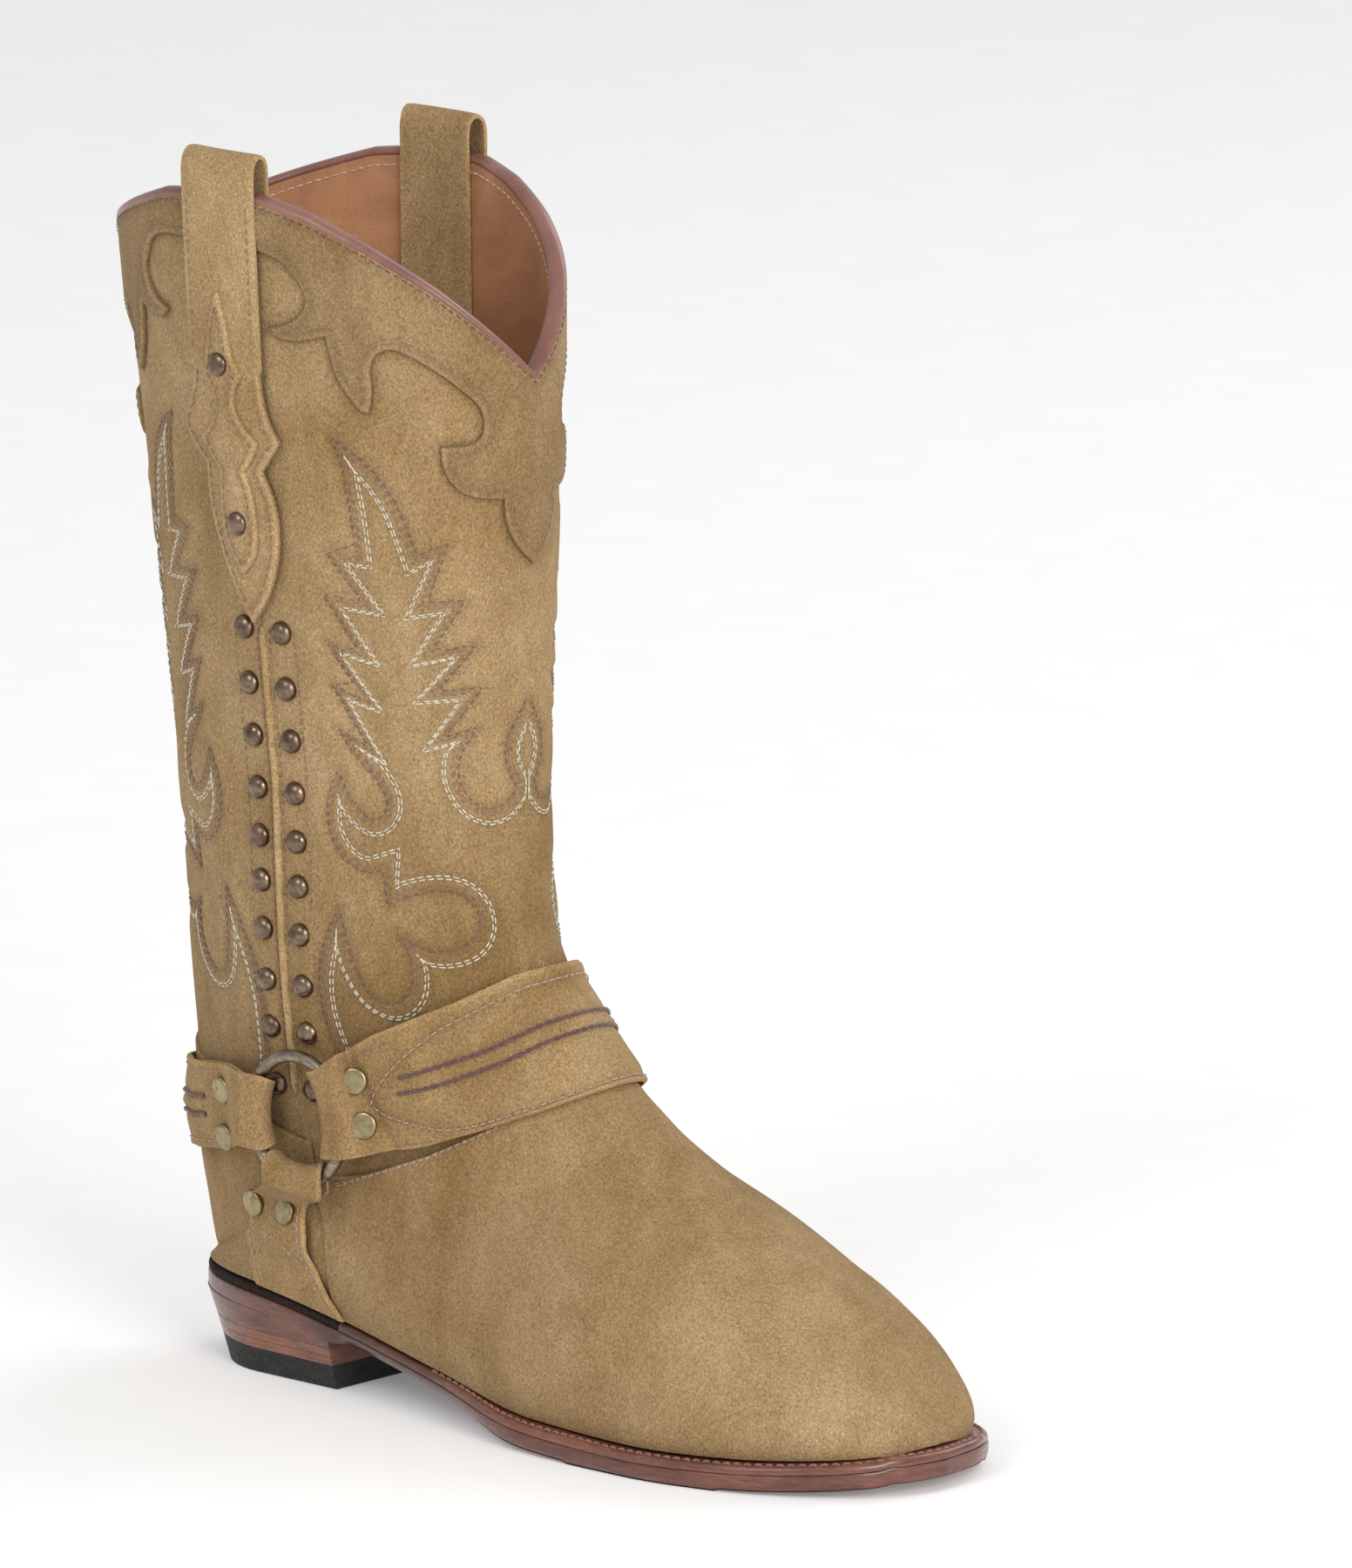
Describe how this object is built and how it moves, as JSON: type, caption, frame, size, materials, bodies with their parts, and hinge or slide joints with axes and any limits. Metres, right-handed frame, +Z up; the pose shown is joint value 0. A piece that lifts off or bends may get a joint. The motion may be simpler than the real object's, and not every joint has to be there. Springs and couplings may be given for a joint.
{
  "type": "western boot",
  "caption": "Western pull-on harness boot in suede with stitched shaft, scrolled collar, pull straps, studded side seams, ringed ankle harness and stacked heel.",
  "frame": {"origin": "centre of the bounding box, on the floor plane under the heel and tread", "axes": "+X to the toe, +Y to the wearer's left (the inner side of this right boot), +Z up the shaft"},
  "size_m": [0.2968, 0.1046, 0.3582],
  "materials": {
    "suede": "matt napped suede",
    "collar": "matt napped suede, darker",
    "piping": "polished leather",
    "lining": "smooth leather",
    "sole": "burnished leather",
    "welt": "burnished leather",
    "insole": "natural leather",
    "insock": "smooth leather",
    "stack": "burnished leather edge",
    "fibreboard": "leatherboard",
    "cork": "pressed cork",
    "steel": "spring steel",
    "rubber": "black rubber",
    "stud_metal": "antique",
    "ring_metal": "antique nickel"
  },
  "bodies": {
    "boot": {"shaft_front": "suede", "shaft_back": "suede", "vamp": "suede", "counter_cover": "suede", "side_piping_outer": "suede", "side_piping_inner": "suede", "pull_strap_outer": "suede", "pull_strap_inner": "suede", "strap_overlay_outer": "suede", "strap_overlay_inner": "suede", "sole_strap_outer": "suede", "sole_strap_inner": "suede", "collar_front": "collar", "collar_back": "collar", "top_binding": "piping", "lining_front": "lining", "lining_back": "lining", "toe_puff": "fibreboard", "counter_stiffener": "fibreboard", "outsole": "sole", "welt": "welt", "heel_rand": "welt", "insole": "insole", "insock": "insock", "cork_filler": "cork", "shank": "steel", "heel_top_lift": "rubber", "heel_lift_1": "stack", "heel_lift_2": "stack", "heel_wedge": "stack", "strap_stud_upper_outer": "stud_metal", "strap_stud_lower_outer": "stud_metal", "stud_row_front_outer": "stud_metal", "stud_row_back_outer": "stud_metal", "strap_stud_upper_inner": "stud_metal", "strap_stud_lower_inner": "stud_metal", "stud_row_front_inner": "stud_metal", "stud_row_back_inner": "stud_metal", "sole_rivet_back_outer": "stud_metal", "sole_rivet_front_outer": "stud_metal", "sole_rivet_back_inner": "stud_metal", "sole_rivet_front_inner": "stud_metal"},
    "outer_ring": {"harness_ring_outer": "ring_metal"},
    "inner_ring": {"harness_ring_inner": "ring_metal"},
    "front_harness": {"front_strap": "suede", "front_strap_overlay": "suede", "front_rivet_upper_outer": "stud_metal", "front_rivet_lower_outer": "stud_metal", "front_rivet_upper_inner": "stud_metal", "front_rivet_lower_inner": "stud_metal"},
    "heel_harness": {"heel_strap": "suede", "heel_rivet_upper_outer": "stud_metal", "heel_rivet_lower_outer": "stud_metal", "heel_rivet_upper_inner": "stud_metal", "heel_rivet_lower_inner": "stud_metal"}
  },
  "joints": [
    {"name": "outer_ring_spin", "type": "hinge", "parent": "boot", "child": "outer_ring", "pos_m": [-0.0563, -0.03894, 0.081], "axis": [-0.0174, -0.9998, 0], "continuous": true},
    {"name": "inner_ring_spin", "type": "hinge", "parent": "boot", "child": "inner_ring", "pos_m": [-0.0563, 0.04138, 0.081], "axis": [-0.0174, 0.9998, 0], "continuous": true},
    {"name": "front_strap_swing", "type": "hinge", "parent": "boot", "child": "front_harness", "pos_m": [-0.0563, 0.0024, 0.081], "axis": [0, 1, 0], "range_deg": [-4, 0]},
    {"name": "heel_strap_swing", "type": "hinge", "parent": "boot", "child": "heel_harness", "pos_m": [-0.0563, 0.0024, 0.081], "axis": [0, 1, 0], "range_deg": [0, 4]}
  ]
}
